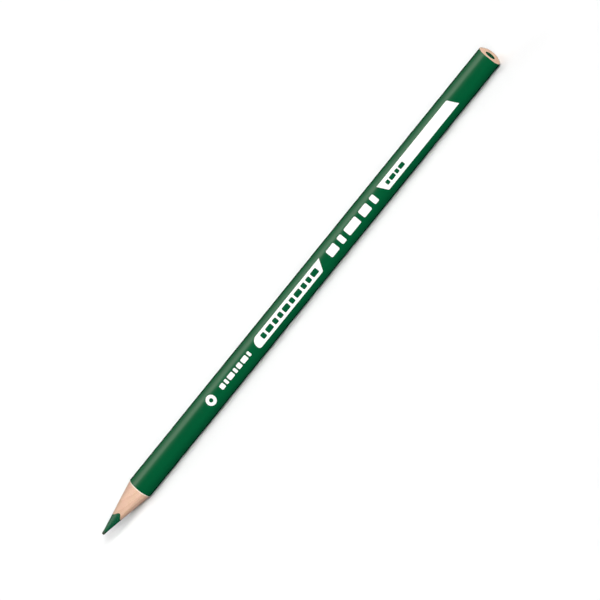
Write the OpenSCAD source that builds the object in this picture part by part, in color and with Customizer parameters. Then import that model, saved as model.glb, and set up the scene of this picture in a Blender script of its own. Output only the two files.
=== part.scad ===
// Triangular wooden colour pencil, lying on one flat side.
// X runs along the pencil, from the point at -X to the cut end at +X.
// Z is up, and the origin is at the middle of the side that it lies on.

/* [Pencil] */
// Whole length, from the tip of the core to the cut end
pencil_l = 175; // [150:1:180]
// Width of the barrel over the lacquer
barrel_w = 7.2; // [6.8:0.1:10]
// Side of the triangle that joins the centres of the three round corners
corner_side = 2.3; // [1.5:0.1:3]

/* [Core] */
// Diameter of the coloured core
core_d = 3.1; // [2.6:0.1:3.4]

/* [Point] */
// Distance from the tip to where the sharpened taper meets the full wood
point_l = 17.05; // [14:0.05:22]
// Width of the wood's taper if it ran on to the blunt tip
tip_w = 0.58; // [0.3:0.02:1]

/* [Layers] */
// Thickness of the cured glue between the two slats
glue_t = 0.06; // [0.04:0.01:0.12]
// Thickness of the pale undercoat
primer_t = 0.05; // [0.04:0.01:0.08]
// Thickness of the lacquer
lacquer_t = 0.08; // [0.05:0.01:0.12]
// Thickness of the pad print
print_t = 0.03; // [0.02:0.01:0.05]

/* [Print] */
// Height of the bands across the printed side
print_h = 3.16; // [2.9:0.02:3.4]
// Lean of the name panel's slanted ends
slant = 1.65; // [1:0.05:2.2]
// Lean of the title band's slanted end
title_slant = 1.3; // [1:0.05:2.2]
// Distance from the tip to the middle of the dot
dot_x = 50.2; // [40:0.1:52]
// Diameter of the dot
dot_d = 3.1; // [2:0.1:3.2]
// Diameter of the opening in the dot
dot_cut_d = 1.2; // [0.8:0.1:1.6]
// Distance from the tip to the first small dash
small_x = 54.6; // [53:0.1:56]
// Height of the small dashes
small_h = 1.5; // [0.8:0.1:2]
// Distance from the tip to the start of the title band
title_x = 70.3; // [69:0.1:72]
// Length of the title band along its long edge
title_l = 30.5; // [30:0.1:31.5]
// Height of the openings in the title band
title_cut_h = 1.6; // [1:0.1:2.2]
// Distance from the tip to the first large dash
large_x = 103.4; // [102.5:0.1:104]
// Height of the large dashes
large_h = 2.5; // [1.6:0.1:3.1]
// Distance from the tip to the start of the name panel
panel_x = 126.8; // [126:0.1:128]
// Length of the name panel, from corner to corner
panel_l = 33.1; // [30:0.1:36]
// Height of the openings in the name panel
panel_cut_h = 1.2; // [0.8:0.1:2]

/* [Hidden] */

// Radius of the round corners at each layer, from the lacquer inwards
lacquer_r = (barrel_w - corner_side) / 2;
primer_r = lacquer_r - lacquer_t;
wood_r = primer_r - primer_t;

// Distance from the pencil's axis to the flat sides of the triangle of corner centres
side_d = corner_side / (2 * sqrt(3));
// Height of the pencil's axis over the side that it lies on
axis_z = side_d + lacquer_r;
tip_x = -pencil_l / 2;

// The sharpened taper: its scale at the tip, and how far it runs on past the full wood section
wood_w = corner_side + 2 * wood_r;
tip_k = tip_w / wood_w;
past_k = 1.06;
past_x = point_l * (past_k - tip_k) / (1 - tip_k);

// Lengths and gaps of the small dashes, taken in turn along the pencil
small_dashes = [1.5, 0.9, 2.1, 0.9, 1.5, 2.1, 0.9];
small_gap = 0.53;
// Lengths and gaps of the large dashes
large_dashes = [3.4, 1.7, 5.1, 3.4, 1.7];
large_gap = 1.45;
// Openings in the title band, through which the lacquer shows
title_cuts = [1.5, 2.4, 1.5, 1.5, 2.4, 1.5, 2.4, 1.5, 1.5, 2.4];
title_gap = 0.7;
title_cut_x = 2.9;
// Openings in the name panel
panel_cuts = [1.2, 2.0, 1.2, 2.0];
panel_gap = 0.42;
panel_cut_x = 2.55;

fine = 96;
steps = 16;
fa = [for (k = [0:2]) 90 + 120 * k];

// Points along an arc from angle a to angle b
function arc(x, y, r, a, b, n = 10) = [for (i = [0:n]) let (t = a + (b - a) * i / n) [x + r * cos(t), y + r * sin(t)]];

// Where item i of a row of dashes starts
function start_at(lengths, gap, i) = i == 0 ? 0 : start_at(lengths, gap, i - 1) + lengths[i - 1] + gap;

// A triangle with round corners, one flat side down, centred on the pencil's axis
module soft_triangle(side, r) {
    c = side / sqrt(3);
    union() {
        for (a = fa) translate([c * cos(a), c * sin(a)]) circle(r = r, $fn = fine);
        polygon([for (a = fa) for (e = [-60, 60])
            [c * cos(a) + r * cos(a + e), c * sin(a) + r * sin(a + e)]]);
    }
}

// Stands a drawing of the cross-section up across X, x0 from the tip
module along(x0, l) {
    translate([tip_x + x0, 0, axis_z]) rotate([90, 0, 90]) linear_extrude(height = l) children();
}

// The same outline in plain steps, for the taper, at k times the size of the wood's section
module stepped_triangle(k) {
    c = corner_side / sqrt(3);
    polygon([for (a = fa) for (j = [0:steps]) let (e = a - 60 + 120 * j / steps)
        k * [c * cos(a) + wood_r * cos(e), c * sin(a) + wood_r * sin(e)]]);
}

// The space inside the sharpener's cut: the taper, then everything behind it
module sharpened() {
    translate([tip_x, 0, axis_z]) rotate([90, 0, 90])
        linear_extrude(height = past_x, scale = past_k / tip_k) stepped_triangle(tip_k);
    translate([tip_x + past_x, -barrel_w, axis_z - barrel_w]) cube([pencil_l, 2 * barrel_w, 2 * barrel_w]);
}

module core_rod(x0, l) {
    translate([tip_x + x0, 0, axis_z]) rotate([0, 90, 0]) cylinder(d = core_d, h = l, $fn = fine);
}

// The wood before it is split into slats
module wood() {
    difference() {
        intersection() {
            along(0, pencil_l) soft_triangle(corner_side, wood_r);
            sharpened();
        }
        core_rod(-1, pencil_l + 2);
    }
}

module slab(z0, z1) {
    translate([tip_x - 1, -barrel_w, axis_z + z0]) cube([pencil_l + 2, 2 * barrel_w, z1 - z0]);
}

// One thin layer over the barrel, cut back to the sharpened taper
module coat(outer_r, inner_r) {
    intersection() {
        difference() {
            along(point_l - 1, pencil_l - point_l + 1) soft_triangle(corner_side, outer_r);
            along(point_l - 2, pencil_l - point_l + 3) soft_triangle(corner_side, inner_r);
        }
        sharpened();
    }
}

// A thin print over the lacquer on the side that faces -Y and up: the drawing's x runs along the pencil from
// the tip and its y runs up across the side
module printed() {
    intersection() {
        difference() {
            along(30, pencil_l - 35) soft_triangle(corner_side, lacquer_r + print_t);
            along(29, pencil_l - 33) soft_triangle(corner_side, lacquer_r);
        }
        translate([tip_x, 0, axis_z]) rotate([60, 0, 0]) linear_extrude(height = barrel_w) children();
    }
}

// A bar with round ends
module dash(x0, l, h, r) {
    translate([x0, 0]) union() {
        translate([r, -h / 2]) square([l - 2 * r, h]);
        translate([0, -h / 2 + r]) square([l, h - 2 * r]);
        for (x = [r, l - r]) for (y = [-h / 2 + r, h / 2 - r]) translate([x, y]) circle(r = r, $fn = 32);
    }
}

module dashes(x0, lengths, gap, h, r) {
    for (i = [0:len(lengths) - 1]) dash(x0 + start_at(lengths, gap, i), lengths[i], h, r);
}

module core() {
    color([0.06, 0.32, 0.20]) intersection() {
        core_rod(0, pencil_l);
        sharpened();
    }
}

module slat_upper() {
    color([0.90, 0.75, 0.64]) intersection() {
        wood();
        slab(glue_t / 2, barrel_w);
    }
}

module slat_lower() {
    color([0.87, 0.72, 0.61]) intersection() {
        wood();
        slab(-barrel_w, -glue_t / 2);
    }
}

module glue_film() {
    color([0.80, 0.68, 0.50]) intersection() {
        wood();
        slab(-glue_t / 2, glue_t / 2);
    }
}

module primer_coat() {
    color([0.95, 0.90, 0.82]) coat(primer_r, wood_r);
}

module lacquer_coat() {
    color([0.01, 0.34, 0.21]) coat(lacquer_r, primer_r);
}

module print_dot() {
    color("white") printed() translate([dot_x, 0]) difference() {
        circle(d = dot_d, $fn = 48);
        circle(d = dot_cut_d, $fn = 32);
    }
}

module print_small_dashes() {
    color("white") printed() dashes(small_x, small_dashes, small_gap, small_h, 0.3);
}

module print_title_band() {
    h = print_h / 2;
    lean = atan2(title_slant, print_h);
    x = title_x + title_l;
    color("white") printed() difference() {
        polygon(concat(
            arc(title_x + 2, h - 2, 2, 180, 90),
            [[x, h]],
            arc(x - title_slant - 0.8 * tan(45 + lean / 2), -h + 0.8, 0.8, -lean, -90),
            arc(title_x + 0.8, -h + 0.8, 0.8, -90, -180)));
        dashes(title_x + title_cut_x, title_cuts, title_gap, title_cut_h, 0.35);
    }
}

module print_large_dashes() {
    color("white") printed() dashes(large_x, large_dashes, large_gap, large_h, 0.4);
}

module print_name_panel() {
    h = print_h / 2;
    lean = atan2(slant, print_h);
    x = panel_x + panel_l;
    color("white") printed() difference() {
        polygon(concat(
            [[panel_x, h]],
            arc(x - slant - 0.6 * tan(45 - lean / 2), h - 0.6, 0.6, 90, lean),
            [[x, -h]],
            arc(panel_x + slant + 0.4 * tan(45 - lean / 2), -h + 0.4, 0.4, -90, -180 + lean)));
        dashes(panel_x + panel_cut_x, panel_cuts, panel_gap, panel_cut_h, 0.3);
    }
}

core();
slat_upper();
slat_lower();
glue_film();
primer_coat();
lacquer_coat();
print_dot();
print_small_dashes();
print_title_band();
print_large_dashes();
print_name_panel();
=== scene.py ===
import math

import bmesh
import bpy
import numpy as np
from mathutils import Matrix, Vector


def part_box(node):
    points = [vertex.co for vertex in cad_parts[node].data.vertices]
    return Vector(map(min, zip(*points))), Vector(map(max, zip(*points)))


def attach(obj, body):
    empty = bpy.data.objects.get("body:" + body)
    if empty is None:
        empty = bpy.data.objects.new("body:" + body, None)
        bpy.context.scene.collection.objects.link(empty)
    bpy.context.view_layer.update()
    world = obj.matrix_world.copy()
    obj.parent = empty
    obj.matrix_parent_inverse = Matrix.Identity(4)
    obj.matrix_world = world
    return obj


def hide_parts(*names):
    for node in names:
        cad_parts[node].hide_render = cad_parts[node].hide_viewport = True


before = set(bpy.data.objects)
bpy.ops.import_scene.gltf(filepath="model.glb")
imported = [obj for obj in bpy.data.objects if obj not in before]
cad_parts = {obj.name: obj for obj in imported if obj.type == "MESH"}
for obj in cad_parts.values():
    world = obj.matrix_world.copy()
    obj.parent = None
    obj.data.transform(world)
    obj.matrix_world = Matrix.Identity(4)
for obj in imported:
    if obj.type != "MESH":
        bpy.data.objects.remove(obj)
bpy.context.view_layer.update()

# ---------------------------------------------------------------------------------------------------------------
# Dimensions, in millimetres in the row frame: lengths come from the CAD nodes' boxes, thin layers are as designed.
# ---------------------------------------------------------------------------------------------------------------
core_lo, core_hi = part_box("core")
TIP_X = core_lo.x * 1000.0
END_X = core_hi.x * 1000.0
LENGTH = END_X - TIP_X
CORE_R = (core_hi.y - core_lo.y) * 500.0
AXIS_Z = (core_hi.z + core_lo.z) * 500.0
SIDE = 2.3            # side of the triangle of corner centres
LACQUER_R = 2.45      # corner radius over the lacquer
PRIMER_R = LACQUER_R - 0.08
WOOD_R = PRIMER_R - 0.05
POINT_L = 17.05
TIP_K = 0.58 / (SIDE + 2 * WOOD_R)
GLUE = 0.06
PRINT_T = 0.03
N = 288               # points round the section

# ---------------------------------------------------------------------------------------------------------------
# Small helpers: a seeded lattice noise, the section's outline, meshes from arrays.
# ---------------------------------------------------------------------------------------------------------------


def lattice(ix, iy, iz, seed):
    h = (ix.astype(np.int64) * 73856093) ^ (iy.astype(np.int64) * 19349663) ^ (iz.astype(np.int64) * 83492791) ^ (seed * 2654435761)
    h &= 0xFFFFFFFF
    h = ((h ^ (h >> 15)) * 2146121005) & 0xFFFFFFFF
    h = ((h ^ (h >> 13)) * 1812433253) & 0xFFFFFFFF
    h ^= h >> 16
    return h.astype(float) / 0xFFFFFFFF


def noise(x, y, z=0.0, seed=1):
    """Smooth noise from 0 to 1 at points given as arrays, the same each run."""
    x, y, z = np.broadcast_arrays(np.asarray(x, float), np.asarray(y, float), np.asarray(z, float))
    fx, fy, fz = np.floor(x), np.floor(y), np.floor(z)
    u, v, w = x - fx, y - fy, z - fz
    u, v, w = (t * t * (3 - 2 * t) for t in (u, v, w))
    out = 0.0
    for a in (0, 1):
        for b in (0, 1):
            for c in (0, 1):
                weight = (u if a else 1 - u) * (v if b else 1 - v) * (w if c else 1 - w)
                out = out + weight * lattice(fx + a, fy + b, fz + c, seed)
    return out


def fractal(x, y, z=0.0, seed=1, octaves=3):
    total, amount, size = 0.0, 0.0, 1.0
    for i in range(octaves):
        total = total + noise(np.asarray(x) / size, np.asarray(y) / size, np.asarray(z) / size, seed + i) * size
        amount += size
        size *= 0.5
    return total / amount


def smooth(t):
    t = np.clip(t, 0.0, 1.0)
    return t * t * (3 - 2 * t)


def radius_at(phi, r):
    """Distance from the axis to the soft triangle's outline in direction phi, one flat side down."""
    m = SIDE / (2 * math.sqrt(3)) + r
    d = np.abs((np.asarray(phi) - math.radians(30) + math.radians(60)) % math.radians(120) - math.radians(60))
    flat = m / np.cos(d)
    along = (m - r) * np.cos(d) + SIDE / 2 * np.sin(d)
    across = -(m - r) * np.sin(d) + SIDE / 2 * np.cos(d)
    arc = along + np.sqrt(np.maximum(r * r - across * across, 0.0))
    return np.where(m * np.tan(d) <= SIDE / 2, flat, arc)


def crowned(least, spread):
    """The section's outline with its sides crowned, least mm from the axis. It never stands outside the plain one.

    Returns the outward normal's angle and the points (y, z), once round from the axis."""
    a = np.radians(np.arange(0.0, 360.0, 0.05))
    reach = SIDE / math.sqrt(3)
    h = np.max([reach * np.cos(a - math.radians(b)) for b in (90, 210, 330)], axis=0)
    kernel = np.exp(-0.5 * (np.arange(-200, 201) * 0.05 / spread) ** 2)
    h = np.convolve(np.concatenate([h[-200:], h, h[:200]]), kernel / kernel.sum(), "valid")
    h = h + least - h.min()
    d = (np.roll(h, -1) - np.roll(h, 1)) / (2 * math.radians(0.05))
    return a, h * np.cos(a) - d * np.sin(a), h * np.sin(a) + d * np.cos(a)


def taper(x):
    """Scale of the wood's section at x mm from the tip, in the sharpened part."""
    return TIP_K + (1 - TIP_K) * x / POINT_L


def taper_x(k):
    return POINT_L * (k - TIP_K) / (1 - TIP_K)


def place(x, r, phi):
    """Points from the distance from the tip, the distance from the axis and the direction, in metres."""
    x, r, phi = np.broadcast_arrays(x, r, phi)
    return np.stack([TIP_X + x, r * np.cos(phi), AXIS_Z + r * np.sin(phi)], axis=-1) * 0.001


def make(name, verts, faces, sharp=40.0):
    mesh = bpy.data.meshes.new(name)
    mesh.from_pydata([tuple(v) for v in np.asarray(verts, float)], [], [tuple(int(i) for i in f) for f in faces])
    mesh.validate()
    bm = bmesh.new()
    bm.from_mesh(mesh)
    bmesh.ops.remove_doubles(bm, verts=bm.verts, dist=2e-8)
    bmesh.ops.dissolve_degenerate(bm, edges=bm.edges, dist=1e-8)
    bmesh.ops.recalc_face_normals(bm, faces=bm.faces)
    bm.to_mesh(mesh)
    bm.free()
    for p in mesh.polygons:
        p.use_smooth = True
    mesh.set_sharp_from_angle(angle=math.radians(sharp))
    obj = bpy.data.objects.new(name, mesh)
    bpy.context.scene.collection.objects.link(obj)
    return obj


def sheet_faces(rows, cols, start=0, closed=False):
    """Quads over a grid of points stored row by row; closed joins the last column to the first."""
    out = []
    last = cols if closed else cols - 1
    for i in range(rows - 1):
        a = start + i * cols
        for j in range(last):
            k = (j + 1) % cols
            out.append((a + j, a + k, a + cols + k, a + cols + j))
    return out


def stations(*parts):
    """Joined runs of spaced numbers, each (start, end, count)."""
    runs = [np.linspace(a, b, n) for a, b, n in parts]
    return np.concatenate([runs[0]] + [r[1:] for r in runs[1:]])


phi_all = np.arange(N) * 2 * math.pi / N
normal_a, outline_y, outline_z = crowned(AXIS_Z, 2.5)
polar = np.unwrap(np.arctan2(outline_z, outline_y))
ro_lacquer = np.interp(phi_all, polar, np.hypot(outline_y, outline_z), period=2 * math.pi)

# The sharpener rounds the wood a little more than the barrel
_, cone_y, cone_z = crowned(SIDE / (2 * math.sqrt(3)) + WOOD_R, 11.0)
cone_polar, cone_r = np.unwrap(np.arctan2(cone_z, cone_y)), np.hypot(cone_y, cone_z)
_, full_y, full_z = crowned(SIDE / (2 * math.sqrt(3)) + WOOD_R + 0.12, 16.0)
full_polar, full_r = np.unwrap(np.arctan2(full_z, full_y)), np.hypot(full_y, full_z)


def lead(phi):
    """How far the sharpening runs up the barrel's edges beyond its flat sides, which gives the coats a curved line."""
    return 0.22 * (0.5 + 0.5 * np.cos(3 * (phi - math.radians(30))))


# ---------------------------------------------------------------------------------------------------------------
# Core: the sharpened tip with a worn round end, the leaf-shaped line where it leaves the wood, and the cut end.
# ---------------------------------------------------------------------------------------------------------------
rw = np.interp(phi_all, cone_polar, cone_r, period=2 * math.pi)
leave_x = taper_x(CORE_R / rw)


def build_core():
    rings = []
    cap = 0.15
    for t in np.linspace(0.0, 1.0, 12)[1:]:
        # the worn end: a dome over the first part of the taper, a little lopsided as a used point is
        x = cap * (1 - math.cos(t * math.pi / 2)) * (1 + 0.25 * np.cos(phi_all - 2.2) * (1 - t))
        r = taper(x) * rw * 1.2 * np.sin(t * math.pi / 2) ** 0.8
        rings.append(place(x, r, phi_all))
    for t in stations((0.0, 1.0, 150))[1:]:
        x = cap + (leave_x - cap) * t
        # light cutting marks: shallow rings with a broken rhythm, and a few longer nicks
        marks = 0.006 * noise(x * 6.5, phi_all * 1.2, 3.1, 11) + 0.006 * fractal(x * 1.1, np.cos(phi_all) * 5, np.sin(phi_all) * 5, 14)
        worn = 1 + 0.2 * (1 - smooth((x - cap) / 1.5))
        r = taper(x) * rw * worn - marks * smooth((x - cap) / 0.5) * smooth((leave_x - x) / 0.25)
        rings.append(place(x, r, phi_all))
    end = LENGTH - 0.035
    for t in stations((0.0, 1.0, 24))[1:]:
        x = leave_x + (end - 0.05 - leave_x) * t
        rings.append(place(x, CORE_R, phi_all))
    rings.append(place(end - 0.012, CORE_R - 0.018, phi_all))
    rings.append(place(end, CORE_R - 0.05, phi_all))
    # the cut end: a fine saw-cut face, slightly below the wood
    for t in np.linspace(1.0, 0.0, 26)[1:-1]:
        r = (CORE_R - 0.05) * t
        y, z = r * np.cos(phi_all), r * np.sin(phi_all)
        low = 0.022 * fractal(y * 7, z * 7, 0.5, 21) + 0.010 * noise((z + 0.3 * y) * 9, y * 0.8, 0.0, 24)
        rings.append(place(end - low * smooth((1 - t) * 6), r, phi_all))
    verts = np.concatenate([r.reshape(-1, 3) for r in rings])
    faces = sheet_faces(len(rings), N, closed=True)
    tip, middle = len(verts), len(verts) + 1
    verts = np.concatenate([verts, place(0.0, 0.0, 0.0).reshape(1, 3), place(end - 0.02, 0.0, 0.0).reshape(1, 3)])
    last = (len(rings) - 1) * N
    faces += [(tip, (j + 1) % N, j) for j in range(N)]
    faces += [(middle, last + j, last + (j + 1) % N) for j in range(N)]
    return make("core_lead", verts, faces, 50)


# ---------------------------------------------------------------------------------------------------------------
# Wood: two grooved slats whose cut cone ends in a feather edge on the core.
# ---------------------------------------------------------------------------------------------------------------


def slat(name, upper):
    half = N // 2 + 1
    sign = 1.0 if upper else -1.0
    phi = np.linspace(0, math.pi, half) if upper else np.linspace(-math.pi, 0, half)
    rout = radius_at(phi, WOOD_R)
    # the feather edge breaks away unevenly, by less than a tenth of a millimetre
    soft = np.interp(phi, cone_polar, cone_r, period=2 * math.pi)
    round_ = np.interp(phi, full_polar, full_r, period=2 * math.pi)
    begin = taper_x(CORE_R / soft) + 0.008 + 0.085 * fractal(np.cos(phi) * 3.2, np.sin(phi) * 3.2, 0.0, 31) ** 2
    y1, z1 = rout * np.cos(phi), rout * np.sin(phi)
    outer, inner = [], []
    for t in np.linspace(0.0, 1.0, 190):
        x = begin + (POINT_L - begin) * t
        k = np.minimum(taper(x + lead(phi) * smooth((x - 11) / 5)), 1.0)
        full = soft + (round_ - soft) * smooth((x - begin) / 3.5)
        full = full + (rout - full) * smooth((x - POINT_L) / 2.2 + 1)
        # raised grain: long low ridges along the fibres, and the tool's faint rings
        ridges = 0.013 * fractal(x * 0.22, y1 * k * 5.5, z1 * k * 5.5, 41)
        fibres = 0.005 * noise(x * 0.9, y1 * k * 14, z1 * k * 14, 44)
        turned = 0.004 * noise(x * 3.3, phi * 0.8, 0.0, 47)
        low = (ridges + fibres + turned) * smooth((x - begin) / 0.9) * smooth((POINT_L - x) / 0.3)
        outer.append((x, k * full - low))
        inner.append((x, np.full(half, CORE_R)))
    for x in np.linspace(POINT_L, LENGTH - 0.06, 27)[1:]:
        outer.append((np.full(half, x), rout))
        inner.append((np.full(half, x), np.full(half, CORE_R)))
    # the cut end, from the rim to the groove: pores and the saw's faint lines
    cut = [(np.full(half, LENGTH - 0.012), rout - 0.008), (np.full(half, LENGTH), rout - 0.035)]
    for t in np.linspace(0.0, 1.0, 40)[1:]:
        r = (rout - 0.035) + (CORE_R + 0.02 - (rout - 0.035)) * t
        y, z = r * np.cos(phi), r * np.sin(phi)
        low = 0.030 * fractal(y * 6.5, z * 6.5, 1.5, 51) ** 1.5 + 0.012 * noise((z - 0.25 * y) * 6.0, y * 0.5, 0.0, 54)
        cut.append((LENGTH - low * smooth(t * 9) * smooth((1 - t) * 14), r))
    cut.append((np.full(half, LENGTH - 0.02), np.full(half, CORE_R)))
    rows = outer + cut + inner[::-1]
    pts = []
    for x, r in rows:
        p = place(x, r, phi)
        for j, side in ((0, 1.0 if upper else -1.0), (half - 1, -1.0 if upper else 1.0)):
            # the joint's face is a plane half the glue's thickness from the axis
            p[j, 1] = side * math.sqrt(r[j] ** 2 - (GLUE / 2) ** 2) * 0.001
            p[j, 2] = (AXIS_Z + sign * GLUE / 2) * 0.001
        pts.append(p)
    n, m = len(rows), len(outer)
    faces = []
    for i in range(n):
        a, b = i * half, ((i + 1) % n) * half
        faces += [(a + j, a + j + 1, b + j + 1, b + j) for j in range(half - 1)]
    # the two joint faces: quads from the outside across to the groove, then a fan round the cut end's edge
    for j in (0, half - 1):
        out = [i * half + j for i in range(m)]
        groove = [(n - 1 - i) * half + j for i in range(m)]
        faces += [(out[i], out[i + 1], groove[i + 1], groove[i]) for i in range(m - 1)]
        rim = [out[-1]] + [(m + i) * half + j for i in range(len(cut))]
        faces += [(groove[-1], rim[i], rim[i + 1]) for i in range(len(rim) - 1)]
    return make(name, np.concatenate(pts), faces, 50)


# ---------------------------------------------------------------------------------------------------------------
# Glue: a thin strip on each side of the core.
# ---------------------------------------------------------------------------------------------------------------


def build_glue():
    verts, faces = [], []
    for side in (1.0, -1.0):
        toward_side = 0.0 if side > 0 else math.pi
        rout = float(radius_at(toward_side, WOOD_R))
        soft = float(np.interp(toward_side, cone_polar, cone_r, period=2 * math.pi))
        begin = taper_x(CORE_R / soft) + 0.05
        xs = stations((begin, POINT_L, 60), (POINT_L, LENGTH - 0.06, 40), (LENGTH - 0.06, LENGTH - 0.03, 3))
        start = len(verts)
        for x in xs:
            y_in = math.sqrt(CORE_R ** 2 - (GLUE / 2) ** 2)
            wide = min(taper(x), 1.0) * (soft + (rout - soft) * float(smooth((x - POINT_L) / 2.2 + 1)))
            y_out = max(wide - 0.012 - 0.02 * float(noise(x * 2.2, side, 0.0, 61)), y_in + 1e-4)
            for y, z in ((y_in, -GLUE / 2), (y_out, -GLUE / 2), (y_out, GLUE / 2), (y_in, GLUE / 2)):
                verts.append((0.001 * (TIP_X + x), 0.001 * side * y, 0.001 * (AXIS_Z + z)))
        n = len(xs)
        for i in range(n - 1):
            for j in range(4):
                k = (j + 1) % 4
                a = start + i * 4
                faces.append((a + j, a + k, a + 4 + k, a + 4 + j))
        faces.append(tuple(start + j for j in range(4)))
        faces.append(tuple(start + (n - 1) * 4 + j for j in range(4)))
    return make("glue_line", verts, faces, 30)


# ---------------------------------------------------------------------------------------------------------------
# Coats: closed thin shells, cut back by the sharpening at the front and sawn with the wood at the end.
# ---------------------------------------------------------------------------------------------------------------


def coat(name, ro, ri, ragged, roll, run_out, count, wave):
    edge = ragged * (fractal(np.cos(phi_all) * 6, np.sin(phi_all) * 6, 0.3, 71) - 0.5) - lead(phi_all)
    wood = radius_at(phi_all, WOOD_R)
    x_in = taper_x(ri / wood) + edge
    x_out = taper_x((ro - roll) / wood) + edge
    rows = []
    end = LENGTH - run_out
    # the inner face, back to front
    for t in stations((0.0, 1.0, 20)):
        rows.append(place(end * (1 - t) + x_in * t, ri, phi_all))
    # the cut edge, then a small rolled lip on to the outer face
    for t in (0.35, 0.7, 1.0):
        rows.append(place(x_in + (x_out - x_in) * t, ri + (ro - roll - ri) * t, phi_all))
    for t in (0.25, 0.5, 0.75, 1.0):
        a = t * math.pi / 2
        rows.append(place(x_out + roll * 2.2 * math.sin(a), ro - roll * (1 - math.sin(a) ** 0.9), phi_all))
    front = x_out + roll * 2.2
    for t in np.concatenate([np.linspace(0, 0.02, 12)[1:], np.linspace(0.02, 1.0, count)[1:]]):
        x = front + (end - roll * 1.5 - front) * t
        # the coats follow the wood a little: long, very shallow waves, always inwards
        low = wave * fractal(x * 0.09, np.cos(phi_all) * 1.6, np.sin(phi_all) * 1.6, 81) * smooth((x - front) / 2)
        rows.append(place(x, ro - low, phi_all))
    for t in (0.4, 0.75, 1.0):
        a = t * math.pi / 2
        rows.append(place(end - roll * 1.5 * (1 - math.sin(a)), ro - wave * 0.5 * (1 - t) - roll * (1 - math.cos(a)), phi_all))
    rows.append(place(end, (ro - roll + ri) / 2, phi_all))
    verts = np.concatenate(rows)
    n = len(rows)
    faces = []
    for i in range(n):
        a, b = i * N, ((i + 1) % n) * N
        for j in range(N):
            k = (j + 1) % N
            faces.append((a + j, a + k, b + k, b + j))
    return make(name, verts, faces, 50)


# ---------------------------------------------------------------------------------------------------------------
# Print: closed outlines with openings, cut finely across, then laid over the lacquer.
# ---------------------------------------------------------------------------------------------------------------


def arc(x, y, r, a, b, n=14):
    t = np.radians(np.linspace(a, b, n))
    return list(zip(x + r * np.cos(t), y + r * np.sin(t)))


def bar(x, length, h, r):
    y = h / 2
    return (arc(x + length - r, -y + r, r, -90, 0, 8) + arc(x + length - r, y - r, r, 0, 90, 8)
            + arc(x + r, y - r, r, 90, 180, 8) + arc(x + r, -y + r, r, 180, 270, 8))


def bars(x, lengths, gap, h, r):
    out = []
    for l in lengths:
        out.append(bar(x, l, h, r))
        x += l + gap
    return out


# The printed side of the lacquer, by how far up across it: the side faces -Y and up, 150 degrees from +Y
near = np.abs(normal_a - math.radians(150)) < math.radians(80)
side_a, side_y, side_z = (q[near][::-1] for q in (normal_a, outline_y, outline_z))
side_w = side_y * 0.5 + side_z * math.sqrt(0.75)


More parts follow.
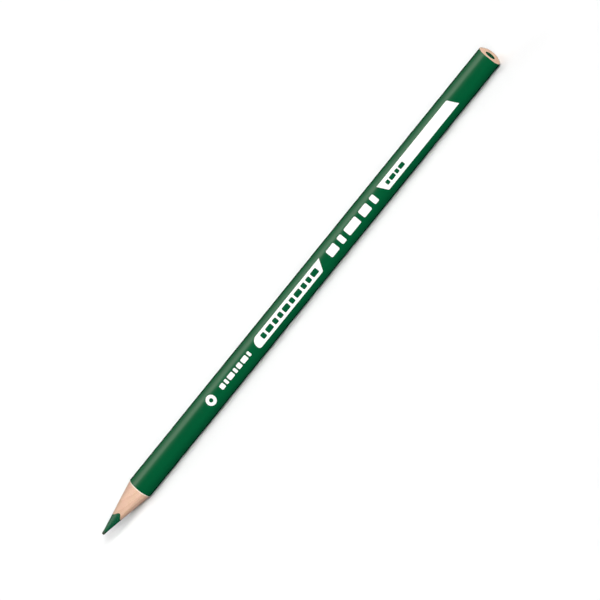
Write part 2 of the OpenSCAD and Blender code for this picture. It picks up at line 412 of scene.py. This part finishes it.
def printed(name, outlines, seed):
    """Outlines are in mm: x from the tip, y up across the printed side. An outline inside another is an opening."""
    curve = bpy.data.curves.new(name, "CURVE")
    curve.dimensions = "2D"
    curve.fill_mode = "BOTH"
    for points in outlines:
        # the ink's edge is a little uneven
        dense = []
        for i, p in enumerate(points):
            q = points[(i + 1) % len(points)]
            d = math.dist(p, q)
            steps = max(1, int(d / 0.12))
            dense += [(p[0] + (q[0] - p[0]) * s / steps, p[1] + (q[1] - p[1]) * s / steps) for s in range(steps)]
        a = np.array(dense)
        a[:, 0] += 0.022 * (fractal(a[:, 0] * 3.1, a[:, 1] * 3.1, 0.2, seed) - 0.5)
        a[:, 1] += 0.022 * (fractal(a[:, 0] * 3.1, a[:, 1] * 3.1, 5.2, seed + 5) - 0.5)
        s = curve.splines.new("POLY")
        s.points.add(len(a) - 1)
        for p, (x, y) in zip(s.points, a):
            p.co = (x, y, 0.0, 1.0)
        s.use_cyclic_u = True
    tmp = bpy.data.objects.new(name + "_flat", curve)
    bpy.context.scene.collection.objects.link(tmp)
    dg = bpy.context.evaluated_depsgraph_get()
    flat = bpy.data.meshes.new_from_object(tmp.evaluated_get(dg), depsgraph=dg)
    bpy.data.objects.remove(tmp)
    bm = bmesh.new()
    bm.from_mesh(flat)
    bpy.data.meshes.remove(flat)
    bmesh.ops.remove_doubles(bm, verts=bm.verts, dist=1e-4)
    for w in np.concatenate([np.arange(-1.7, -1.1, 0.08), np.arange(-1.1, 1.1, 0.25), np.arange(1.1, 1.75, 0.08)]):
        bmesh.ops.bisect_plane(bm, geom=bm.verts[:] + bm.edges[:] + bm.faces[:], dist=1e-5, plane_co=(0, float(w) + 0.003, 0), plane_no=(0, 1, 0))
    x0, x1 = min(v.co.x for v in bm.verts), max(v.co.x for v in bm.verts)
    for u in np.arange(x0 + 0.7, x1, 0.7):
        bmesh.ops.bisect_plane(bm, geom=bm.verts[:] + bm.edges[:] + bm.faces[:], dist=1e-5, plane_co=(float(u), 0, 0), plane_no=(1, 0, 0))
    bmesh.ops.remove_doubles(bm, verts=bm.verts, dist=0.003)
    bmesh.ops.dissolve_degenerate(bm, edges=bm.edges, dist=0.002)
    bmesh.ops.recalc_face_normals(bm, faces=bm.faces)
    if bm.faces and sum(f.normal.z for f in bm.faces) < 0:
        bmesh.ops.reverse_faces(bm, faces=bm.faces)
    # a lower ring at the surface, the top a little in from the edge, so that the ink has a soft shoulder
    bmesh.ops.inset_region(bm, faces=bm.faces[:], thickness=0.02, depth=0.0, use_even_offset=True)
    boundary = set(v for e in bm.edges if e.is_boundary for v in e.verts)
    for v in bm.verts:
        v.co.z = 0.008 if v in boundary else PRINT_T - 0.004
    # the sheet that was there becomes the underside, a touch below the lacquer's surface
    under = bm.verts[:]
    bmesh.ops.extrude_face_region(bm, geom=bm.faces[:])
    for v in under:
        v.co.z = -0.012
    bmesh.ops.recalc_face_normals(bm, faces=bm.faces)
    for v in bm.verts:
        x, w, h = v.co
        a, y, z = (float(np.interp(w, side_w, q)) for q in (side_a, side_y, side_z))
        v.co = Vector((TIP_X + x, y + h * math.cos(a), AXIS_Z + z + h * math.sin(a))) * 0.001
    mesh = bpy.data.meshes.new(name)
    bm.to_mesh(mesh)
    bm.free()
    for p in mesh.polygons:
        p.use_smooth = True
    mesh.set_sharp_from_angle(angle=math.radians(50))
    obj = bpy.data.objects.new(name, mesh)
    bpy.context.scene.collection.objects.link(obj)
    return obj


H = 3.16 / 2
SLANT = 1.65
TITLE_SLANT = 1.3
LEAN = math.degrees(math.atan2(SLANT, 2 * H))


def title_outline():
    x, end = 70.3, 100.8
    lean = math.degrees(math.atan2(TITLE_SLANT, 2 * H))
    k = 0.8 * math.tan(math.radians(45 + lean / 2))
    return (arc(x + 2, H - 2, 2, 180, 90, 24) + [(end, H)] + arc(end - TITLE_SLANT - k, -H + 0.8, 0.8, -lean, -90)
            + arc(x + 0.8, -H + 0.8, 0.8, -90, -180))


def panel_outline():
    x, end = 126.8, 159.9
    k = math.tan(math.radians(45 - LEAN / 2))
    return ([(x, H)] + arc(end - SLANT - 0.6 * k, H - 0.6, 0.6, 90, LEAN) + [(end, -H)]
            + arc(x + SLANT + 0.4 * k, -H + 0.4, 0.4, -90, -180 + LEAN))


# ---------------------------------------------------------------------------------------------------------------
# Materials
# ---------------------------------------------------------------------------------------------------------------


def lin(*c):
    f = lambda v: v / 12.92 if v <= 0.04045 else ((v + 0.055) / 1.055) ** 2.4
    return tuple(f(v / 255.0) for v in c) + (1.0,)


class Graph:
    def __init__(self, name):
        self.m = bpy.data.materials.new(name)
        self.m.use_nodes = True
        self.t = self.m.node_tree
        self.t.nodes.clear()
        self.out = self.add("ShaderNodeOutputMaterial")
        self.b = self.add("ShaderNodeBsdfPrincipled")
        self.link(self.b.outputs[0], self.out.inputs["Surface"])
        coord = self.add("ShaderNodeTexCoord").outputs["Object"]
        # millimetres, so that every scale below is per millimetre
        self.p = self.math("MULTIPLY", coord, (1000, 1000, 1000), vector=True)

    def add(self, kind, **props):
        n = self.t.nodes.new(kind)
        for k, v in props.items():
            setattr(n, k, v)
        return n

    def link(self, a, b):
        self.t.links.new(a, b)

    def put(self, socket, value):
        if isinstance(value, bpy.types.NodeSocket):
            self.link(value, socket)
        else:
            socket.default_value = value

    def math(self, op, a, b=None, c=None, vector=False, clamp=False):
        n = self.add("ShaderNodeVectorMath" if vector else "ShaderNodeMath", operation=op)
        if not vector:
            n.use_clamp = clamp
        for i, v in enumerate((a, b, c)):
            if v is not None:
                self.put(n.inputs[i], v)
        if vector:
            return n.outputs["Value"] if op in ("LENGTH", "DISTANCE", "DOT_PRODUCT") else n.outputs["Vector"]
        return n.outputs[0]

    def scaled(self, v, x, y, z):
        return self.math("MULTIPLY", v, (x, y, z), vector=True)

    def noise(self, v, scale=1.0, detail=3.0, rough=0.5, distort=0.0):
        n = self.add("ShaderNodeTexNoise")
        self.put(n.inputs["Vector"], v)
        n.inputs["Scale"].default_value = scale
        n.inputs["Detail"].default_value = detail
        n.inputs["Roughness"].default_value = rough
        n.inputs["Distortion"].default_value = distort
        return n.outputs[0]

    def voronoi(self, v, scale=1.0, feature="F1"):
        n = self.add("ShaderNodeTexVoronoi", feature=feature)
        self.put(n.inputs["Vector"], v)
        n.inputs["Scale"].default_value = scale
        return n.outputs["Distance"]

    def ramp(self, fac, *stops, interpolation="LINEAR"):
        n = self.add("ShaderNodeValToRGB")
        n.color_ramp.interpolation = interpolation
        e = n.color_ramp.elements
        while len(e) > 1:
            e.remove(e[-1])
        for i, (pos, col) in enumerate(stops):
            s = e[0] if i == 0 else e.new(pos)
            s.position = pos
            s.color = col if hasattr(col, "__len__") else (col, col, col, 1)
        self.put(n.inputs["Fac"], fac)
        return n.outputs["Color"]

    def map(self, v, a, b, c, d):
        n = self.add("ShaderNodeMapRange")
        self.put(n.inputs["Value"], v)
        for i, x in zip(range(1, 5), (a, b, c, d)):
            n.inputs[i].default_value = x
        return n.outputs[0]

    def mix(self, fac, a, b, blend="MIX"):
        n = self.add("ShaderNodeMix", data_type="RGBA", blend_type=blend)
        self.put(n.inputs[0], fac)
        self.put(n.inputs[6], a)
        self.put(n.inputs[7], b)
        return n.outputs[2]

    def xyz(self, v):
        n = self.add("ShaderNodeSeparateXYZ")
        self.put(n.inputs[0], v)
        return n.outputs

    def combine(self, x, y, z):
        n = self.add("ShaderNodeCombineXYZ")
        for i, v in enumerate((x, y, z)):
            self.put(n.inputs[i], v)
        return n.outputs[0]

    def bump(self, height, distance, strength=1.0, normal=None):
        n = self.add("ShaderNodeBump")
        n.inputs["Distance"].default_value = distance
        n.inputs["Strength"].default_value = strength
        self.put(n.inputs["Height"], height)
        if normal is not None:
            self.put(n.inputs["Normal"], normal)
        return n.outputs[0]

    def set(self, **values):
        for k, v in values.items():
            self.put(self.b.inputs[k.replace("_", " ")], v)


def lacquer_material():
    g = Graph("gloss_green_lacquer")
    p = g.p
    drift = g.noise(g.scaled(p, 0.05, 0.35, 0.35), 1.0, 2.0)
    fine = g.noise(g.scaled(p, 1.4, 2.2, 2.2), 1.0, 3.0)
    tone = g.math("ADD", g.math("MULTIPLY", drift, 0.65), g.math("MULTIPLY", fine, 0.35))
    g.set(Base_Color=g.ramp(tone, (0.30, lin(1, 82, 47)), (0.52, lin(1, 86, 49)), (0.72, lin(2, 90, 51))))
    haze = g.noise(g.scaled(p, 0.5, 1.6, 1.6), 1.0, 4.0, 0.6)
    g.set(Roughness=g.map(haze, 0.3, 0.7, 0.085, 0.13))
    # orange peel, the faint lines that the lacquering collar draws along the barrel, and a few dust nibs
    peel = g.noise(p, 1.1, 2.0, 0.5)
    drawn = g.noise(g.scaled(p, 0.03, 5.5, 5.5), 1.0, 2.0)
    nib = g.map(g.voronoi(g.scaled(p, 0.28, 0.5, 0.5), 1.0), 0.0, 0.07, 1.0, 0.0)
    h = g.math("ADD", g.math("ADD", peel, g.math("MULTIPLY", drawn, 0.45)), g.math("MULTIPLY", nib, 0.6))
    g.set(Normal=g.bump(h, 0.0000035, 1.0))
    g.set(Specular_IOR_Level=0.5)
    return g.m


def primer_material():
    g = Graph("cream_undercoat")
    chalk = g.noise(g.scaled(g.p, 6, 6, 6), 1.0, 4.0, 0.65)
    patch = g.noise(g.scaled(g.p, 0.8, 1.6, 1.6), 1.0, 2.0)
    t = g.math("ADD", g.math("MULTIPLY", chalk, 0.5), g.math("MULTIPLY", patch, 0.5))
    g.set(Base_Color=g.ramp(t, (0.3, lin(236, 224, 200)), (0.7, lin(250, 243, 228))))
    g.set(Roughness=g.map(chalk, 0.3, 0.7, 0.68, 0.82))
    g.set(Normal=g.bump(chalk, 0.000004, 1.0))
    g.set(Specular_IOR_Level=0.3)
    return g.m


def wood_material(name, shift, lit_upper_slat):
    """Softwood: growth rings as arcs on the end and long flames on the cone, fibres, pores, and tool marks."""
    g = Graph(name)
    p = g.math("ADD", g.p, shift, vector=True)
    wob = g.noise(g.scaled(p, 0.05, 0.42, 0.42), 1.0, 2.0)
    wob2 = g.noise(g.scaled(p, 0.35, 1.5, 1.5), 1.0, 2.0)
    x, y, z = g.xyz(p)
    ring_d = g.math("LENGTH", g.combine(0.0, g.math("ADD", y, -6.5), g.math("ADD", z, 15.0)), vector=True)
    ring_d = g.math("ADD", ring_d, g.math("MULTIPLY", wob, 1.5))
    ring_d = g.math("ADD", ring_d, g.math("MULTIPLY", wob2, 0.22))
    ring_d = g.math("ADD", ring_d, g.math("MULTIPLY", x, 0.055))
    phase = g.math("FRACT", g.math("MULTIPLY", ring_d, 0.85))
    ring = g.ramp(phase, (0.0, 0.10), (0.45, 0.25), (0.80, 0.62), (0.93, 1.0), (1.0, 0.10))
    fibre = g.noise(g.scaled(p, 0.22, 8.5, 8.5), 1.0, 4.0, 0.6)
    fleck = g.noise(g.scaled(p, 1.1, 16.0, 16.0), 1.0, 2.0, 0.5)
    fleck = g.map(fleck, 0.60, 0.74, 0.0, 1.0)
    blush = g.noise(g.scaled(p, 0.16, 0.5, 0.5), 1.0, 2.0)
    # the lower slat takes darker copies of the same wood colours: painted shade on the cone's lower half, which faces
    # away from the light
    early, late, pore = (lin(240, 204, 180), lin(221, 170, 143), lin(172, 122, 99)) if lit_upper_slat else (lin(226, 190, 165), lin(206, 157, 131), lin(160, 111, 90))
    base = g.mix(g.math("MULTIPLY", ring, 0.62), early, late)
    base = g.mix(g.map(blush, 0.38, 0.66, 0.0, 0.30), base, lin(234, 187, 164))
    base = g.mix(g.map(fibre, 0.42, 0.68, 0.0, 0.26), base, lin(196, 151, 122))
    base = g.mix(g.map(fibre, 0.30, 0.46, 0.22, 0.0), base, lin(241, 216, 191))
    patch = g.noise(g.scaled(p, 0.30, 1.1, 1.1), 1.0, 3.0, 0.55)
    base = g.mix(g.map(patch, 0.50, 0.68, 0.0, 0.45), base, lin(228, 192, 152))
    base = g.mix(g.map(patch, 0.34, 0.48, 0.35, 0.0), base, lin(238, 186, 166))
    base = g.mix(g.math("MULTIPLY", fleck, 0.42), base, pore)
    # the sharpener drags a little pigment on to the wood next to the core
    drag = g.math("ADD", g.math("SUBTRACT", g.xyz(g.p)[0], TIP_X), g.math("MULTIPLY", fibre, 3.0))
    base = g.mix(g.map(drag, 8.0, 13.5, 0.42, 0.0), base, lin(186, 150, 122))
    g.set(Base_Color=base)
    g.set(Roughness=g.map(fibre, 0.3, 0.7, 0.60, 0.78))
    tool = g.noise(g.scaled(p, 5.0, 0.9, 0.9), 1.0, 2.0, 0.5)
    h = g.math("ADD", g.math("MULTIPLY", fibre, 1.0), g.math("MULTIPLY", ring, 0.35))
    h = g.math("ADD", h, g.math("MULTIPLY", tool, 0.30))
    h = g.math("SUBTRACT", h, g.math("MULTIPLY", fleck, 0.8))
    g.set(Normal=g.bump(h, 0.000012, 0.9))
    g.set(Specular_IOR_Level=0.35)
    return g.m


def glue_material():
    g = Graph("cured_glue")
    n = g.noise(g.scaled(g.p, 1.2, 4, 4), 1.0, 3.0)
    g.set(Base_Color=g.ramp(n, (0.3, lin(205, 168, 128)), (0.7, lin(226, 194, 154))))
    g.set(Roughness=g.map(n, 0.3, 0.7, 0.35, 0.55))
    g.set(Normal=g.bump(n, 0.000003, 1.0))
    return g.m


def core_material():
    """Waxy pigment: fine mottling, cutting rings on the sharpened part, and a dark grey colour at the very end."""
    g = Graph("green_core")
    p = g.p
    x, y, z = g.xyz(p)
    mottle = g.noise(g.scaled(p, 2.2, 3.4, 3.4), 1.0, 5.0, 0.65)
    grit = g.noise(g.scaled(p, 17, 17, 17), 1.0, 3.0, 0.6)
    cut = g.noise(g.scaled(p, 8.0, 0.8, 0.8), 1.0, 3.0, 0.6)
    t = g.math("ADD", g.math("MULTIPLY", mottle, 0.6), g.math("MULTIPLY", grit, 0.4))
    base = g.ramp(t, (0.28, lin(5, 74, 47)), (0.5, lin(8, 84, 54)), (0.75, lin(18, 96, 64)))
    base = g.mix(g.map(grit, 0.62, 0.76, 0.0, 0.30), base, lin(70, 128, 98))
    # the first millimetre or so from the tip is mixed towards a dark grey
    from_tip = g.math("SUBTRACT", x, TIP_X)
    edge = g.math("ADD", from_tip, g.math("MULTIPLY", mottle, 0.7))
    base = g.mix(g.map(edge, 0.75, 1.75, 0.94, 0.0), base, lin(66, 64, 58))
    g.set(Base_Color=base)
    g.set(Roughness=g.map(mottle, 0.3, 0.7, 0.20, 0.30))
    h = g.math("ADD", g.math("MULTIPLY", cut, 1.0), g.math("MULTIPLY", grit, 0.5))
    g.set(Normal=g.bump(h, 0.000008, 0.9))
    g.set(Specular_IOR_Level=0.5)
    return g.m


def print_material():
    g = Graph("white_print")
    p = g.p
    cover = g.noise(g.scaled(p, 2.6, 3.0, 3.0), 1.0, 4.0, 0.6)
    pin = g.voronoi(g.scaled(p, 2.3, 2.6, 2.6), 1.0)
    base = g.ramp(cover, (0.25, lin(240, 244, 238)), (0.55, lin(252, 252, 249)), (1.0, lin(255, 255, 253)))
    base = g.mix(g.map(pin, 0.0, 0.05, 0.45, 0.0), base, lin(150, 190, 168))
    g.set(Base_Color=base)
    g.set(Roughness=g.map(cover, 0.3, 0.7, 0.42, 0.56))
    g.set(Normal=g.bump(g.math("ADD", cover, g.map(pin, 0.0, 0.06, -0.6, 0.0)), 0.000004, 1.0))
    g.set(Specular_IOR_Level=0.4)
    return g.m


# ---------------------------------------------------------------------------------------------------------------
# Pieces
# ---------------------------------------------------------------------------------------------------------------
white = print_material()
made = [
    (build_core(), "core", "core", core_material()),
    (slat("wood_upper", True), "slat_upper", "wood", wood_material("softwood_upper", (3.0, 0.0, 0.0), True)),
    (slat("wood_lower", False), "slat_lower", "wood", wood_material("softwood_lower", (41.0, 1.7, -3.1), False)),
    (build_glue(), "glue_film", "glue", glue_material()),
    (coat("undercoat", radius_at(phi_all, PRIMER_R), radius_at(phi_all, WOOD_R), 0.03, 0.008, 0.004, 40, 0.0), "primer_coat", "primer", primer_material()),
    (coat("lacquer", ro_lacquer, radius_at(phi_all, PRIMER_R), 0.05, 0.022, 0.0, 230, 0.006), "lacquer_coat", "lacquer", lacquer_material()),
    (printed("dot", [arc(50.2, 0, 1.55, 0, 355, 72), arc(50.2, 0, 0.6, 0, 352, 45)], 101), "print_dot", "print", white),
    (printed("small_dashes", bars(54.6, [1.5, 0.9, 2.1, 0.9, 1.5, 2.1, 0.9], 0.53, 1.5, 0.3), 111), "print_small_dashes", "print", white),
    (printed("title_band", [title_outline()] + bars(73.2, [1.5, 2.4, 1.5, 1.5, 2.4, 1.5, 2.4, 1.5, 1.5, 2.4], 0.7, 1.6, 0.35), 121),
     "print_title_band", "print", white),
    (printed("large_dashes", bars(103.4, [3.4, 1.7, 5.1, 3.4, 1.7], 1.45, 2.5, 0.4), 131), "print_large_dashes", "print", white),
    (printed("name_panel", [panel_outline()] + bars(129.35, [1.2, 2.0, 1.2, 2.0], 0.42, 1.2, 0.3), 141), "print_name_panel", "print", white),
]
for obj, node, slot_name, material in made:
    obj.data.materials.clear()
    obj.data.materials.append(material)
    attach(obj, "root")
    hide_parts(node)

# ---------------------------------------------------------------------------------------------------------------
# Stage: a plain white floor, soft light, and the camera
# ---------------------------------------------------------------------------------------------------------------
scene = bpy.context.scene
scene.view_settings.view_transform = "Standard"
scene.view_settings.look = "None"
scene.view_settings.exposure = 0.0
scene.view_settings.gamma = 1.0

floor_mesh = bpy.data.meshes.new("floor")
floor_mesh.from_pydata([(-20, -20, 0), (20, -20, 0), (20, 20, 0), (-20, 20, 0)], [], [(0, 1, 2, 3)])
floor = bpy.data.objects.new("floor", floor_mesh)
scene.collection.objects.link(floor)
floor.location.z = -0.00002
fm = Graph("pale_floor")
fm.set(Base_Color=lin(246, 246, 246))
fm.set(Roughness=1.0, Specular_IOR_Level=0.0)
floor_mesh.materials.append(fm.m)
floor.visible_glossy = False
floor.visible_diffuse = False

world = bpy.data.worlds.new("studio")
scene.world = world
world.use_nodes = True
wt = world.node_tree
wt.nodes.clear()
w_out = wt.nodes.new("ShaderNodeOutputWorld")
w_path = wt.nodes.new("ShaderNodeLightPath")
w_seen = wt.nodes.new("ShaderNodeBackground")
w_lit = wt.nodes.new("ShaderNodeBackground")
w_gloss = wt.nodes.new("ShaderNodeBackground")
w_mix = wt.nodes.new("ShaderNodeMixShader")
w_mix2 = wt.nodes.new("ShaderNodeMixShader")
w_seen.inputs[0].default_value = (1, 1, 1, 1)
w_seen.inputs[1].default_value = 1.1
w_lit.inputs[0].default_value = (1, 1, 1, 1)
w_lit.inputs[1].default_value = 0.1
w_gloss.inputs[0].default_value = (1, 1, 1, 1)
w_gloss.inputs[1].default_value = 0.02
wt.links.new(w_path.outputs["Is Glossy Ray"], w_mix2.inputs[0])
wt.links.new(w_lit.outputs[0], w_mix2.inputs[1])
wt.links.new(w_gloss.outputs[0], w_mix2.inputs[2])
wt.links.new(w_path.outputs["Is Camera Ray"], w_mix.inputs[0])
wt.links.new(w_mix2.outputs[0], w_mix.inputs[1])
wt.links.new(w_seen.outputs[0], w_mix.inputs[2])
wt.links.new(w_mix.outputs[0], w_out.inputs[0])


def toward(azimuth, elevation):
    """Unit vector from the object towards a light; azimuth 0 is -Y, the printed side, and 90 is +X."""
    a, e = math.radians(azimuth), math.radians(elevation)
    return Vector((math.sin(a) * math.cos(e), -math.cos(a) * math.cos(e), math.sin(e)))


def sun(name, azimuth, elevation, strength, angle):
    data = bpy.data.lights.new(name, "SUN")
    data.energy = strength
    data.angle = math.radians(angle)
    obj = bpy.data.objects.new(name, data)
    scene.collection.objects.link(obj)
    d = toward(azimuth, elevation)
    obj.location = d * 2.0
    obj.rotation_mode = "QUATERNION"
    obj.rotation_quaternion = d.to_track_quat("Z", "Y")
    obj.visible_glossy = False
    return obj


def only(name, objects):
    """A group that a light is kept to, so that the barrel's shading and its shadow are each lit as they should be."""
    group = bpy.data.collections.new(name)
    for obj in objects:
        group.objects.link(obj)
    return group


on_pencil = only("lit_pencil", [m[0] for m in made])
on_floor = only("lit_floor", [floor])
for name, azimuth, elevation, strength, angle, group in (
    ("key_light", 12, 37.4, 3.09, 50, on_pencil),
    ("end_fill", 90, 5, 3.0, 40, on_pencil),
    ("back_fill", 180, 10, 1.0, 60, on_pencil),
    ("floor_low", 0, 25, 0.87, 14, on_floor),
    ("floor_front", 27, 42, 1.29, 14, on_floor),
    ("floor_side", 74, 37, 1.67, 40, on_floor),
    ("floor_top", 222, 59, 0.92, 22, on_floor),
    ("floor_back", 242, 10, 1.22, 14, on_floor),
):
    sun(name, azimuth, elevation, strength, angle).light_linking.receiver_collection = group

# A large overhead soft box: only its reflection is used. It is brightest over the front and fades to the back.
THETA = math.asin(0.30)
box = bpy.data.lights.new("overhead_box", "AREA")
box.shape = "RECTANGLE"
box.size = 4.0
box.size_y = 3.6
box.energy = 108.6
box.color = (1.0, 0.99, 0.89)
box.use_nodes = True
bt = box.node_tree
bt.nodes.clear()
b_out = bt.nodes.new("ShaderNodeOutputLight")
b_emit = bt.nodes.new("ShaderNodeEmission")
b_ramp = bt.nodes.new("ShaderNodeValToRGB")
b_split = bt.nodes.new("ShaderNodeSeparateXYZ")
b_geo = bt.nodes.new("ShaderNodeNewGeometry")
bt.links.new(b_geo.outputs["Parametric"], b_split.inputs[0])
bt.links.new(b_split.outputs["Y"], b_ramp.inputs["Fac"])
bt.links.new(b_ramp.outputs["Color"], b_emit.inputs["Color"])
bt.links.new(b_emit.outputs[0], b_out.inputs[0])
stops = b_ramp.color_ramp.elements
while len(stops) > 1:
    stops.remove(stops[-1])
for i, (elevation, level) in enumerate(((33, 0.0), (37, 0.20), (41, 0.54), (50, 0.84), (64, 1.0), (78, 0.88), (92, 0.60), (108, 0.35), (126, 0.17), (148, 0.06))):
    at = (1.8 - 1 / math.tan(math.radians(elevation))) / 3.6
    stop = stops[0] if i == 0 else stops.new(at)
    stop.position = at
    stop.color = (level, level, level, 1)
box_obj = bpy.data.objects.new("overhead_box", box)
scene.collection.objects.link(box_obj)
box_obj.location = (0.0, 0.0, 1.0)
box_obj.visible_diffuse = False

# Camera: far away with a long lens, level with the printed side and turned a little towards the cut end
PX_PER_MM = 3.690
c = Vector((math.sin(THETA), -math.cos(THETA) * math.sin(math.radians(60)), math.cos(THETA) * math.cos(math.radians(60))))
e1 = (Vector((1, 0, 0)) - c * c.x).normalized()
e2 = c.cross(e1)
turn = math.radians(51.008)
right = math.cos(turn) * e1 - math.sin(turn) * e2
up = math.sin(turn) * e1 + math.cos(turn) * e2
aim = Vector((TIP_X + 87.30, 0.0, AXIS_Z)) - e2 * (5.935 / PX_PER_MM)
cam_data = bpy.data.cameras.new("camera")
cam_data.sensor_width = 36.0
cam_data.lens = 1500.0
cam = bpy.data.objects.new("camera", cam_data)
scene.collection.objects.link(cam)
distance = (600 / PX_PER_MM) / 36.0 * cam_data.lens
cam.location = (aim + c * distance) * 0.001
cam.rotation_mode = "QUATERNION"
cam.rotation_quaternion = Matrix((right, up, c)).transposed().to_quaternion()
cam_data.clip_start = 0.1
cam_data.clip_end = 60.0
scene.camera = cam
